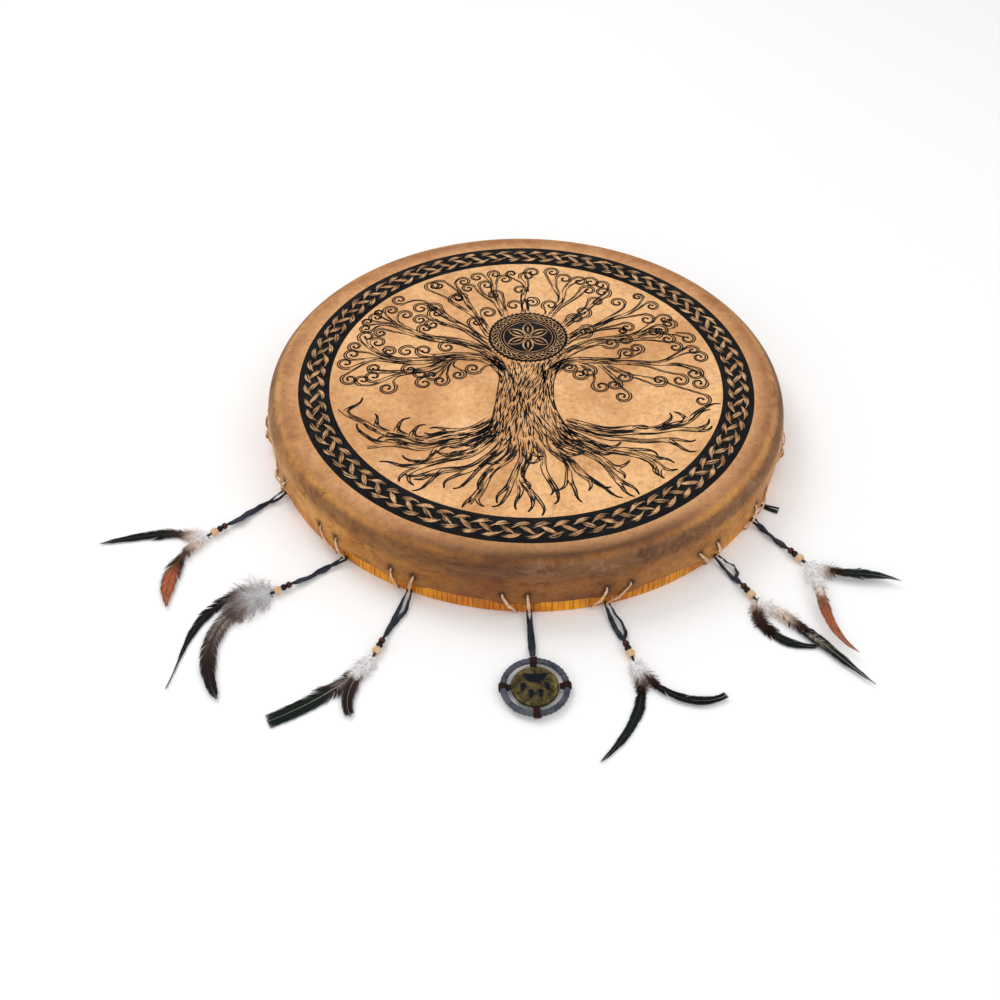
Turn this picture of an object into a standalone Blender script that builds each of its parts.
"""Frame drum: a bent wooden hoop, a rawhide head laced to a grip cross at the back, six feather
danglers and one amulet.

Origin: centre of the drum, on the plane its back rim rests on. +Z goes up through the head, +Y is
the drum's upper side and the amulet hangs at -Y. The drum lies on its open back and the danglers
lie round it. Lengths are in millimetres and angles in degrees unless a comment says otherwise.
"""

from collections import namedtuple
from math import cos, pi, radians, sin

import bmesh
import bpy
from mathutils import Matrix, Vector

MM = 0.001

# ---- hoop ------------------------------------------------------------------------------------
HOOP_R = 250.0  # outer radius
HOOP_WALL = 12.0
HOOP_INNER_R = HOOP_R - HOOP_WALL
HOOP_STEPS = 96
SHOULDER_R = 14.5  # round on the outer top edge
SHOULDER_Z = 40.8  # height of that round's centre
SHOULDER_AT = HOOP_R - SHOULDER_R  # radius of the circle the round's centre follows
SHOULDER_STEP = 30.0  # angle of each facet of the round
BEARING_IN = 1.0  # from the inner face to the start of the bearing edge
BEARING_DROP = 1.6  # from the crest down to the inner face
RIM_CHAMFER = 0.8
NOTCH_W, NOTCH_H = 3.4, 2.6  # lacing notches in the back rim
NOTCH_CUT_L = 20.0  # radial length of each notch cutter
NOTCH_Z = 1.25  # height of a thong lying in a notch

# ---- rawhide head ----------------------------------------------------------------------------
SKIN_T = 1.0
SKIN_GAP = 0.3
SKIN_OUTER_R = HOOP_R + SKIN_GAP + SKIN_T
SKIN_EDGE_Z = 15.0
# How far the skin stands off the hoop above, below and at the edge of a lacing pair.
SKIN_LIFT = (2.4, 3.0, 5.5)
LIFT_FULL_DEG = 3.4  # fully lifted this far either side of a pair
LIFT_FADE_DEG = 3.4  # and fading out over this much more
LIFT_STATION_DEG = 6.4  # extra column of points either side of a pair
HOLE_Z = (23.0, 28.0)
HOLE_HALF_DEG = 0.6
HOLE_ROW = 4  # row of skin faces that holds the holes
HOLE_COLUMNS = (0, 2)  # columns of faces left open, out of those belonging to each pair

# ---- lacing ----------------------------------------------------------------------------------
LACE_R = 0.9
LACE_HOLE_DEG = 2.5  # half the angle between the two holes of a pair
LACE_FOOT_DEG = 1.4  # half the angle between the two thongs at the back rim
LACE_FOOT_R = 253.6
# Lacing pairs: azimuth, and how far the feet lean to one side of the holes.
LACE_PAIRS = (
    (-172.0, 0.0), (-154.4, -0.9), (-134.4, 3.0), (-115.3, 0.1), (-92.4, 1.5), (-71.8, -3.6),
    (-50.6, 1.8), (-31.6, -3.5), (-12.0, 0.0), (8.0, 0.6), (28.0, -0.8), (48.0, 0.5),
    (68.0, 0.0), (88.0, -0.6), (108.0, 0.8), (128.0, -0.4), (148.0, 0.5), (168.0, 0.0),
)
# The thong from inside the hoop, through its notch and up the outside: radius, height.
LACE_LOW_RUN = (
    (HOOP_INNER_R - 1.5, NOTCH_Z),
    (HOOP_R + 1.0, NOTCH_Z),
    (LACE_FOOT_R, 2.6),
    (LACE_FOOT_R, 6.9),
    (HOOP_R + 9.0, 13.2),
)
# Radii just outside the skin and just behind it, where the thong goes through its hole.
LACE_HOLE_R = (SKIN_OUTER_R + (SKIN_LIFT[0] + SKIN_LIFT[1]) / 2 + 1.3, HOOP_R + 1.65)

# ---- grip cross ------------------------------------------------------------------------------
# Spokes: name, azimuth, first lacing interval, number of intervals.
SPOKES = (
    ("lower", -92.0, 2, 4),
    ("right", -2.0, 6, 5),
    ("upper", 88.0, 11, 4),
    ("left", 178.0, 15, 5),
)
GRIP_Z = 8.0
GRIP_R = (50.0, 95.0)  # inner and outer ends of each sleeve
GRIP_HALF = (8.7, 4.3)  # half width over GRIP_FULL_COUNT thongs, and half height
GRIP_FULL_COUNT = 5
GRIP_T = 1.3
RING_R, RING_TUBE = 30.0, 3.0
LACE_PITCH, LACE_LAYER = 2.8, 1.3
# The thong's upper run from a spoke's outer end into the ring: radius, height over GRIP_Z.
SPOKE_RUN = ((GRIP_R[1] + 6, LACE_LAYER), (GRIP_R[0] - 6, LACE_LAYER), (30.5, 4.9), (25.0, 3.0))

# ---- cord stub -------------------------------------------------------------------------------
STUB_AZ, STUB_R = -28.0, 0.9
STUB_RUN = ((229, 2.4), (237, NOTCH_Z), (251, NOTCH_Z), (257, 1.5), (263, 1.7))  # radius, height

# ---- danglers --------------------------------------------------------------------------------
LOOP_R, LOOP_TUBE, LOOP_Z = 2.4, 0.8, 4.7
CORD_START, TILT_AT = 3.9, 4.9  # from the loop's axis
BORE_R, CORE_R = 1.2, 0.8
BEAD_GAP = 0.4
BEAD_CLEARANCE = 0.3  # under a wooden bead
TIP_L = 4.0
FEATHER_GAP = 0.4  # from the cord's tip to the feather's root
FEATHER_T = 0.7
FEATHER_STEPS = 12
VANE_DROOP = 0.08  # fall per millimetre out from the spine
BLUNT_UNTIL = 0.97  # a blunt feather keeps its width up to this share of its length
ROOT_TAPER = (0.12, 3.2)  # share of the width at the root, and its growth along the length
TIP_TAPER = (0.06, 2.4)  # the same from the tip

Bead = namedtuple("Bead", "radius length steps")
SMALL_BEAD = Bead(radius=3.0, length=4.6, steps=10)
WOOD_BEAD = Bead(radius=4.5, length=7.4, steps=12)

# Headings at the root, middle and tip are off the dangler's own heading. Heights are at the root
# and along the rest of the feather, above the drum's base plane.
Feather = namedtuple("Feather", "length width headings heights tint blunt", defaults=(False,))
# Danglers: name, lacing pair, heading, distance from the loop's axis to the first bead, feathers.
DANGLERS = (
    ("left_high", 1, -137.5, 66.0, (
        Feather(98.0, 12.0, (-60.0, -36.0, -24.0), (2.6, 1.6), (0.02, 0.015, 0.012)),
        Feather(89.0, 13.0, (-4.0, 36.0, 62.0), (5.0, 3.4), (0.33, 0.1, 0.04)),
    )),
    ("left_mid", 2, -145.0, 55.5, (
        Feather(142.0, 9.0, (-60.0, 32.0, 40.0), (2.6, 1.6), (0.012, 0.012, 0.012)),
        Feather(131.0, 14.0, (-20.0, 45.0, 86.0), (5.0, 3.4), (0.08, 0.06, 0.055)),
    )),
    ("left_low", 3, -110.0, 58.0, (
        Feather(101.0, 15.0, (-20.0, -32.0, -44.0), (2.6, 1.6), (0.015, 0.03, 0.025), blunt=True),
        Feather(62.0, 12.0, (-18.0, 4.0, 48.0), (5.0, 3.4), (0.07, 0.04, 0.035)),
    )),
    ("right_low", 5, -72.5, 45.0, (
        Feather(107.0, 8.0, (4.0, -40.0, -62.0), (2.6, 1.6), (0.012, 0.02, 0.018)),
        Feather(90.0, 8.0, (10.0, 46.0, 106.0), (5.0, 3.4), (0.012, 0.012, 0.012)),
    )),
    ("right_mid", 6, -60.5, 40.0, (
        Feather(76.0, 11.0, (-46.0, 18.0, 64.0), (2.6, 1.6), (0.03, 0.015, 0.012)),
        Feather(122.0, 11.0, (30.0, 12.0, 14.0), (5.0, 3.4), (0.012, 0.025, 0.02)),
    )),
    ("right_high", 7, -53.0, 47.5, (
        Feather(83.0, 10.0, (14.0, 48.0, 24.0), (3.0, 7.0), (0.012, 0.03, 0.026)),
        Feather(108.0, 9.0, (-20.0, -32.0, 14.0), (5.4, 9.0), (0.2, 0.07, 0.04)),
    )),
)

# ---- amulet ----------------------------------------------------------------------------------
AMULET_PAIR, AMULET_HEADING = 4, -87.0
AMULET_AT = 79.0  # from the loop's axis to the amulet's centre
AMULET_CLEARANCE = 0.5  # under the ties
AMULET_R, AMULET_TUBE = 26.8, 3.2
AMULET_CORD_GAP = 0.4  # from the cord's end to the nearest tie
TIE_R, TIE_T, TIE_HALF_DEG = 4.6, 0.8, 7.0
TIES = (("top", 180.0), ("left", 270.0), ("bottom", 0.0), ("right", 90.0))  # name, angle
BRIDGE_W, BRIDGE_H = 4.4, 2.2  # block from each tie in towards the medallion
BRIDGE_GAP = 0.35  # from the bridge to the medallion
BRIDGE_OVERLAP = 0.45  # of the bridge into the tie
MEDAL_R, MEDAL_T, MEDAL_STEPS = 20.0, 3.0, 28
# Raised pads: centre x and y, radii along x and y.
PADS = (
    (-6.0, 0.0, 5.6, 8.6),
    (3.4, 9.6, 3.6, 2.4),
    (6.8, 3.6, 4.0, 2.5),
    (6.8, -3.6, 4.0, 2.5),
    (3.4, -9.6, 3.6, 2.4),
)
PAD_H, PAD_Z, PAD_TAPER = 1.6, 1.2, 0.8  # height, mid height, top radius over bottom radius


# ---- scene and materials ---------------------------------------------------------------------
for found in list(bpy.data.objects):
    bpy.data.objects.remove(found)

parts = bpy.data.collections.new("frame_drum")
cutters = bpy.data.collections.new("frame_drum_cutters")
bpy.context.scene.collection.children.link(parts)
bpy.context.scene.collection.children.link(cutters)


def material(name, colour, roughness, metallic=0.0):
    made = bpy.data.materials.new(name)
    made.use_nodes = True
    shader = made.node_tree.nodes["Principled BSDF"]
    shader.inputs["Base Color"].default_value = (*colour, 1.0)
    shader.inputs["Roughness"].default_value = roughness
    shader.inputs["Metallic"].default_value = metallic
    made.diffuse_color = (*colour, 1.0)
    return made


ASH = material("amber_wood", colour=(0.66, 0.34, 0.06), roughness=0.45)
SKIN = material("goatskin", colour=(0.62, 0.38, 0.19), roughness=0.55)
RAWHIDE = material("rawhide_thong", colour=(0.72, 0.52, 0.34), roughness=0.6)
SUEDE = material("slate_suede", colour=(0.075, 0.09, 0.11), roughness=0.9)
GRIP = material("grip_leather", colour=(0.16, 0.08, 0.045), roughness=0.7)
BLACK_CORD = material("black_cord", colour=(0.02, 0.02, 0.02), roughness=0.8)
RED_BEAD = material("dark_red_bead", colour=(0.09, 0.015, 0.01), roughness=0.25)
BLACK_BEAD = material("black_bead", colour=(0.012, 0.01, 0.01), roughness=0.25)
PALE_BEAD = material("pale_wood_bead", colour=(0.66, 0.42, 0.2), roughness=0.5)
BRASS = material("antique_brass", colour=(0.2, 0.15, 0.05), roughness=0.45, metallic=0.9)
THREAD = material("brown_thread", colour=(0.045, 0.015, 0.012), roughness=0.8)

# Beads in order out from the loop: name, size, material.
BEADS = (
    ("red_bead", SMALL_BEAD, RED_BEAD),
    ("black_bead", SMALL_BEAD, BLACK_BEAD),
    ("wood_bead", WOOD_BEAD, PALE_BEAD),
)


# ---- helpers ---------------------------------------------------------------------------------
def polar(radius, azimuth, z):
    return Vector((radius * cos(radians(azimuth)), radius * sin(radians(azimuth)), z))


def about_z(degrees):
    return (0, 0, radians(degrees))


def add(name, data, look, collection=parts, parent=None, at=(0, 0, 0), turn=(0, 0, 0)):
    """Link a new object, placed in millimetres and turned in radians."""
    obj = bpy.data.objects.new(name, data)
    collection.objects.link(obj)
    obj.location = [value * MM for value in at]
    obj.rotation_euler = turn
    obj.parent = parent
    if look:
        data.materials.append(look)
    return obj


def empty(name, **place):
    made = add(name, None, None, **place)
    made.empty_display_size = 0.01
    return made


def mesh_of(shape, name):
    bmesh.ops.recalc_face_normals(shape, faces=shape.faces)
    mesh = bpy.data.meshes.new(name)
    shape.to_mesh(mesh)
    shape.free()
    mesh.shade_smooth()
    mesh.set_sharp_from_angle(angle=radians(35))
    return mesh


def cutter(name, shape, **place):
    """A hidden helper object for a boolean."""
    obj = add(name, mesh_of(shape, name), None, collection=cutters, **place)
    obj.hide_render = True
    obj.display_type = "WIRE"
    return obj


def add_block(shape, size, centre, azimuth=0.0):
    """A box added to the bmesh, moved to its centre and then swung about Z."""
    place = Matrix.Rotation(radians(azimuth), 4, "Z") @ Matrix.Translation(Vector(centre) * MM)
    verts = bmesh.ops.create_cube(shape, size=1.0)["verts"]
    bmesh.ops.scale(shape, vec=Vector(size) * MM, verts=verts)
    bmesh.ops.transform(shape, matrix=place, verts=verts)


def boolean(obj, name, operation, tool):
    modifier = obj.modifiers.new(name, "BOOLEAN")
    modifier.operation = operation
    modifier.object = tool


def solidify(obj, name, thickness, offset=-1.0, even=True):
    modifier = obj.modifiers.new(name, "SOLIDIFY")
    modifier.thickness = thickness * MM
    modifier.offset = offset
    modifier.use_even_offset = even


def wire(name, points, look, radius, sides=1, cyclic=False, scales=None, **place):
    """A tube along straight spans; scales multiply its radius at each point."""
    curve = bpy.data.curves.new(name, "CURVE")
    curve.dimensions = "3D"
    curve.bevel_depth = radius * MM
    curve.bevel_resolution = sides
    curve.use_fill_caps = not cyclic
    spline = curve.splines.new("POLY")
    spline.points.add(len(points) - 1)
    spline.use_cyclic_u = cyclic
    for point, at, scale in zip(spline.points, points, scales or [1.0] * len(points)):
        point.co = (*[value * MM for value in at], 1.0)
        point.radius = scale
    add(name, curve, look, **place)


def turned(name, profile, look, steps, closed=True, **place):
    """A profile of (radius, height) turned about Z, running down its outer side."""
    mesh = bpy.data.meshes.new(name)
    shape = bmesh.new()
    verts = [shape.verts.new((radius * MM, 0, z * MM)) for radius, z in profile]
    for start, end in zip(verts, verts[1:] + (verts[:1] if closed else [])):
        shape.edges.new((start, end))
    shape.to_mesh(mesh)
    shape.free()
    obj = add(name, mesh, look, **place)
    screw = obj.modifiers.new("turn", "SCREW")
    screw.angle = 2 * pi
    screw.steps = steps
    screw.render_steps = steps
    screw.use_merge_vertices = True
    screw.merge_threshold = 0.00001
    screw.use_smooth_shade = True
    return obj


def torus(name, radius, tube, segments, look, at=(0, 0, 0), parent=None):
    """A flat ring; segments are round the ring and round its tube."""
    bpy.ops.mesh.primitive_torus_add(
        major_segments=segments[0],
        minor_segments=segments[1],
        major_radius=radius * MM,
        minor_radius=tube * MM,
        location=[value * MM for value in at],
    )
    obj = bpy.context.object
    obj.name = obj.data.name = name
    obj.data.materials.append(look)
    obj.data.shade_smooth()
    for owner in list(obj.users_collection):
        owner.objects.unlink(obj)
    parts.objects.link(obj)
    obj.parent = parent


def sleeve(name, rings, core, look, wall_name, thickness, **place):
    """An open tube skinned over rings of points, thickened inwards towards its core."""
    shape = bmesh.new()
    loops = [[shape.verts.new(Vector(point) * MM) for point in ring] for ring in rings]
    for near, far in zip(loops, loops[1:]):
        for i in range(len(near)):
            j = (i + 1) % len(near)
            shape.faces.new((near[i], far[i], far[j], near[j]))
    shape.normal_update()
    for face in shape.faces:
        if face.normal.dot(face.calc_center_median() - Vector(core) * MM) < 0:
            face.normal_flip()
    mesh = bpy.data.meshes.new(name)
    shape.to_mesh(mesh)
    shape.free()
    obj = add(name, mesh, look, **place)
    solidify(obj, wall_name, thickness)
    return obj


# ---- hoop, head and lacing -------------------------------------------------------------------
def shoulder_points(radius, first_step):
    """Points down the shoulder round, in facets from first_step to the vertical side."""
    angles = [radians(SHOULDER_STEP * k) for k in range(first_step, 4)]
    return [(SHOULDER_AT + radius * sin(a), SHOULDER_Z + radius * cos(a)) for a in angles]


def foot(pair, side):
    """Azimuth of one of a pair's two thongs at the back rim; side is -1 or 1."""
    azimuth, lean = LACE_PAIRS[pair]
    return azimuth + lean + side * LACE_FOOT_DEG


def build_hoop():
    bearing_r = HOOP_INNER_R + BEARING_IN
    # The bearing edge lies on the first facet of the round.
    facet = radians(SHOULDER_STEP)
    drop = (bearing_r - SHOULDER_AT) / sin(facet) * (1 - cos(facet))
    crest = SHOULDER_Z + SHOULDER_R - drop
    profile = [
        (bearing_r, crest),
        *shoulder_points(SHOULDER_R, 1),
        (HOOP_R, RIM_CHAMFER),
        (HOOP_R - RIM_CHAMFER, 0.0),
        (HOOP_INNER_R + RIM_CHAMFER, 0.0),
        (HOOP_INNER_R, RIM_CHAMFER),
        (HOOP_INNER_R, crest - BEARING_DROP),
    ]
    hoop = turned("frame_hoop", profile, ASH, HOOP_STEPS)

    shape = bmesh.new()
    feet = [foot(pair, side) for pair in range(len(LACE_PAIRS)) for side in (-1, 1)]
    for azimuth in feet + [STUB_AZ]:
        size = (NOTCH_CUT_L, NOTCH_W, 2 * NOTCH_H)
        add_block(shape, size, (HOOP_INNER_R + HOOP_WALL / 2, 0, 0), azimuth)
    boolean(hoop, "lacing_notches", "DIFFERENCE", cutter("hoop_notch_cutter", shape))


def lift_at(azimuth):
    """0 to 1: how fully the skin stands off the hoop at this azimuth."""
    nearest = min(abs((azimuth - pair[0] + 180) % 360 - 180) for pair in LACE_PAIRS)
    fade = min(max((nearest - LIFT_FULL_DEG) / LIFT_FADE_DEG, 0.0), 1.0)
    return 1 - fade * fade * (3 - 2 * fade)


def build_head():
    # Columns of points: the four edges of a pair's holes, then three up to the next pair.
    holes = [s * LACE_HOLE_DEG + e * HOLE_HALF_DEG for s in (-1, 1) for e in (-1, 1)]
    columns = []
    for k, (azimuth, _) in enumerate(LACE_PAIRS):
        ahead = (LACE_PAIRS[(k + 1) % len(LACE_PAIRS)][0] - azimuth) % 360
        offsets = holes + [LIFT_STATION_DEG, ahead / 2, ahead - LIFT_STATION_DEG]
        columns += [azimuth + offset for offset in offsets]
    per_pair = len(columns) // len(LACE_PAIRS)

    # Rows of points from the top of the round to the skin's edge: radius, height, lift.
    rows = [(radius, z, 0.0) for radius, z in shoulder_points(SKIN_OUTER_R - SHOULDER_AT, 0)]
    for z, lift in zip((HOLE_Z[1], HOLE_Z[0], SKIN_EDGE_Z), SKIN_LIFT):
        rows.append((SKIN_OUTER_R, z, lift))

    shape = bmesh.new()
    grid = []
    for azimuth in columns:
        share = lift_at(azimuth)
        points = [polar(radius + lift * share, azimuth, z) for radius, z, lift in rows]
        grid.append([shape.verts.new(point * MM) for point in points])
    for i, column in enumerate(grid):
        following = grid[(i + 1) % len(grid)]
        for j in range(len(rows) - 1):
            if j == HOLE_ROW and i % per_pair in HOLE_COLUMNS:
                continue
            shape.faces.new((column[j], column[j + 1], following[j + 1], following[j]))
    shape.faces.new([column[0] for column in grid])
    head = add("drum_head", mesh_of(shape, "drum_head"), SKIN)
    solidify(head, "skin_thickness", SKIN_T)


def side_run(pair, side):
    """From inside the hoop, through its notch and up the outside to the hole."""
    hole_azimuth = LACE_PAIRS[pair][0] + side * LACE_HOLE_DEG
    low = [polar(radius, foot(pair, side), z) for radius, z in LACE_LOW_RUN]
    return low + [polar(radius, hole_azimuth, sum(HOLE_Z) / 2) for radius in LACE_HOLE_R]


def build_lacing():
    """One closed thong, laced back and forth between the head and the centre ring."""
    mirrored = [(radius, -z) for radius, z in reversed(SPOKE_RUN)]
    thong = []
    for _, heading, first, count in SPOKES:
        along, across = polar(1, heading, 0), polar(1, heading + 90, 0)
        for j in range(count):
            pair = (first + j) % len(LACE_PAIRS)
            shift = across * (j - (count - 1) / 2) * LACE_PITCH
            thong += reversed(side_run(pair, 1))
            for radius, z in [*SPOKE_RUN, *mirrored]:
                thong.append(along * radius + shift + Vector((0, 0, GRIP_Z + z)))
            thong += side_run((pair + 1) % len(LACE_PAIRS), -1)
    wire("rawhide_lacing", thong, RAWHIDE, LACE_R, sides=0, cyclic=True)


def build_grip(name, heading, count):
    """A leather sleeve of eight-sided section round one spoke's thongs."""
    high = GRIP_HALF[1]
    wide = GRIP_HALF[0] - (GRIP_FULL_COUNT - count) * LACE_PITCH / 2
    inset = wide * 0.86
    section = [
        (wide, -high * 0.5), (wide, high * 0.5), (inset, high), (-inset, high),
        (-wide, high * 0.5), (-wide, -high * 0.5), (-inset, -high), (inset, -high),
    ]
    rings = [[(x, y, z) for y, z in section] for x in GRIP_R]
    sleeve(
        f"grip_{name}", rings, (0, 0, 0), GRIP, "leather_thickness", GRIP_T,
        at=(0, 0, GRIP_Z), turn=about_z(heading),
    )


# ---- danglers --------------------------------------------------------------------------------
def loop_on(pair, name, heading):
    """The suede loop round a thong's foot; returns the empty on the dangler's lift axis."""
    at = polar(LACE_FOOT_R, foot(pair, 1), LOOP_Z)
    swing = empty(f"{name}_swing_axis", at=at, turn=about_z(heading))
    torus(f"{name}_loop", LOOP_R, LOOP_TUBE, (12, 5), SUEDE, parent=swing)
    return empty(f"{name}_lift_axis", at=(TILT_AT, 0, 0), parent=swing)


def suede_cord(name, stations, lift):
    """A cord through (distance from the loop's axis, height from the loop, radius)."""
    points = [(x - TILT_AT, 0, z) for x, z, _ in stations]
    scales = [radius for _, _, radius in stations]
    wire(f"{name}_cord", points, SUEDE, 1.0, scales=scales, parent=lift)


def bead_profile(bead):
    half = bead.length / 2
    side, end = bead.radius * 0.96, bead.radius * 0.66
    return [
        (BORE_R, half * 0.86), (end, half), (side, half * 0.5),
        (side, -half * 0.5), (end, -half), (BORE_R, -half * 0.86),
    ]


def heading_at(headings, share):
    """Smooth heading through the root, middle and tip headings."""
    root, middle, tip = headings
    return (
        root * (1 - share) * (1 - 2 * share)
        + middle * 4 * share * (1 - share)
        + tip * share * (2 * share - 1)
    )


def width_share(share, blunt):
    """How much of a feather's full width it has at this share of its length."""
    root = min(1.0, ROOT_TAPER[0] + ROOT_TAPER[1] * share)
    if blunt and share < BLUNT_UNTIL:
        return root
    return root * min(1.0, TIP_TAPER[0] + TIP_TAPER[1] * (1 - share))


def build_feather(name, spec, lift, start):
    steps = FEATHER_STEPS
    spine, x, y = [], 0.0, 0.0
    for k in range(steps + 1):
        spine.append((x, y, radians(heading_at(spec.headings, k / steps))))
        onward = radians(heading_at(spec.headings, (k + 0.5) / steps))
        x += spec.length / steps * cos(onward)
        y += spec.length / steps * sin(onward)

    shape = bmesh.new()
    bmesh.ops.create_grid(shape, x_segments=steps, y_segments=2, size=0.5)
    root_z, body_z = spec.heights
    for vert in shape.verts:
        share, side = vert.co.x + 0.5, round(vert.co.y * 2)
        x, y, heading = spine[round(share * steps)]
        half = side * spec.width / 2 * width_share(share, spec.blunt)
        # The height changes from root to body over the first third.
        z = root_z + (body_z - root_z) * min(1.0, share * 3) - VANE_DROOP * abs(half)
        vert.co = Vector((x - half * sin(heading), y + half * cos(heading), z - LOOP_Z)) * MM
    mesh = mesh_of(shape, name)
    if sum(face.normal.z for face in mesh.polygons) < 0:
        mesh.flip_normals()
    look = material(name, colour=spec.tint, roughness=0.5)
    feather = add(name, mesh, look, parent=lift, at=(start, 0, 0))
    solidify(feather, "vane_thickness", FEATHER_T, offset=0.0, even=False)


def build_dangler(name, pair, heading, reach, feathers):
    lift = loop_on(pair, name, heading)
    bead_z = WOOD_BEAD.radius + BEAD_CLEARANCE - LOOP_Z
    near = reach - SMALL_BEAD.length / 2
    neck = near - BEAD_GAP
    for label, bead, look in BEADS:
        at = (near + bead.length / 2 - TILT_AT, 0, bead_z)
        turned(
            f"{name}_{label}", bead_profile(bead), look, bead.steps,
            parent=lift, at=at, turn=(0, pi / 2, 0),
        )
        near += bead.length + BEAD_GAP
    tip = near
    stations = [
        (CORD_START, 0.0, 0.8),
        (CORD_START + 3.0, -0.3, 1.3),
        (CORD_START + 0.3 * (neck - CORD_START), -2.3, 1.9),
        (CORD_START + 0.65 * (neck - CORD_START), -2.4, 2.1),
        (neck - 5.0, -0.9, 1.9),
        (neck - 0.8, bead_z, 1.4),
        (neck, bead_z, CORE_R),
        (tip, bead_z, CORE_R),
        (tip + 0.6, bead_z, 1.5),
        (tip + TIP_L, bead_z - 0.4, 1.2),
    ]
    suede_cord(name, stations, lift)
    start = tip + TIP_L + FEATHER_GAP - TILT_AT
    for letter, spec in zip("ab", feathers):
        build_feather(f"{name}_feather_{letter}", spec, lift, start)


# ---- amulet ----------------------------------------------------------------------------------
def build_medallion(twist):
    half = MEDAL_T / 2
    profile = [
        (0, half * 0.7), (MEDAL_R - 4.0, half * 0.7), (MEDAL_R - 2.6, half),
        (MEDAL_R - 0.8, half * 0.9), (MEDAL_R, 0.2), (MEDAL_R, -0.2),
        (MEDAL_R - 0.8, -half), (0, -half),
    ]
    medal = turned("amulet_medallion", profile, BRASS, MEDAL_STEPS, closed=False, parent=twist)
    shape = bmesh.new()
    for x, y, radius_x, radius_y in PADS:
        verts = bmesh.ops.create_cone(
            shape, cap_ends=True, segments=12, radius1=1.0, radius2=PAD_TAPER, depth=1.0
        )["verts"]
        bmesh.ops.scale(shape, vec=Vector((radius_x, radius_y, PAD_H)) * MM, verts=verts)
        bmesh.ops.translate(shape, vec=Vector((x, y, PAD_Z)) * MM, verts=verts)
    boolean(medal, "paw_relief", "UNION", cutter("medallion_pads", shape, parent=twist))


def build_tie(label, angle, twist):
    """A thread binding round the ring, with a bridge in towards the medallion."""
    facing = [radians(45 * k + 22.5) for k in range(8)]
    rings = [
        [polar(AMULET_R + TIE_R * cos(a), azimuth, TIE_R * sin(a)) for a in facing]
        for azimuth in (-TIE_HALF_DEG, 0.0, TIE_HALF_DEG)
    ]
    place = {"parent": twist, "turn": about_z(angle)}
    tie = sleeve(
        f"amulet_tie_{label}", rings, (AMULET_R, 0, 0), THREAD, "binding_thickness", TIE_T, **place
    )
    inner = MEDAL_R + BRIDGE_GAP
    outer = AMULET_R - TIE_R * cos(radians(22.5)) + BRIDGE_OVERLAP
    shape = bmesh.new()
    add_block(shape, (outer - inner, BRIDGE_W, BRIDGE_H), ((outer + inner) / 2, 0, 0))
    boolean(tie, "bridge", "UNION", cutter(f"tie_bridge_{label}", shape, **place))


def build_amulet():
    lift = loop_on(AMULET_PAIR, "amulet", AMULET_HEADING)
    end = AMULET_AT - AMULET_R - TIE_R - AMULET_CORD_GAP
    amulet_z = AMULET_CLEARANCE + TIE_R - LOOP_Z
    stations = [
        (CORD_START, 0, 0.8),
        (CORD_START + 3, -0.3, 1.3),
        (14, -2.2, 1.9),
        (30, -2.2, 2.1),
        (end - 5, -0.8, 1.9),
        (end, amulet_z, 1.5),
    ]
    suede_cord("amulet", stations, lift)
    twist = empty("amulet_twist_axis", at=(AMULET_AT - TILT_AT, 0, amulet_z), parent=lift)
    torus("amulet_ring", AMULET_R, AMULET_TUBE, (28, 6), SUEDE, parent=twist)
    build_medallion(twist)
    for label, angle in TIES:
        build_tie(label, angle, twist)


build_hoop()
build_head()
build_lacing()
torus("centre_ring", RING_R, RING_TUBE, (28, 6), GRIP, at=(0, 0, GRIP_Z))
for spoke, azimuth, _, thongs in SPOKES:
    build_grip(spoke, azimuth, thongs)
wire("cord_stub", [polar(radius, STUB_AZ, z) for radius, z in STUB_RUN], BLACK_CORD, STUB_R)
for dangler in DANGLERS:
    build_dangler(*dangler)
build_amulet()
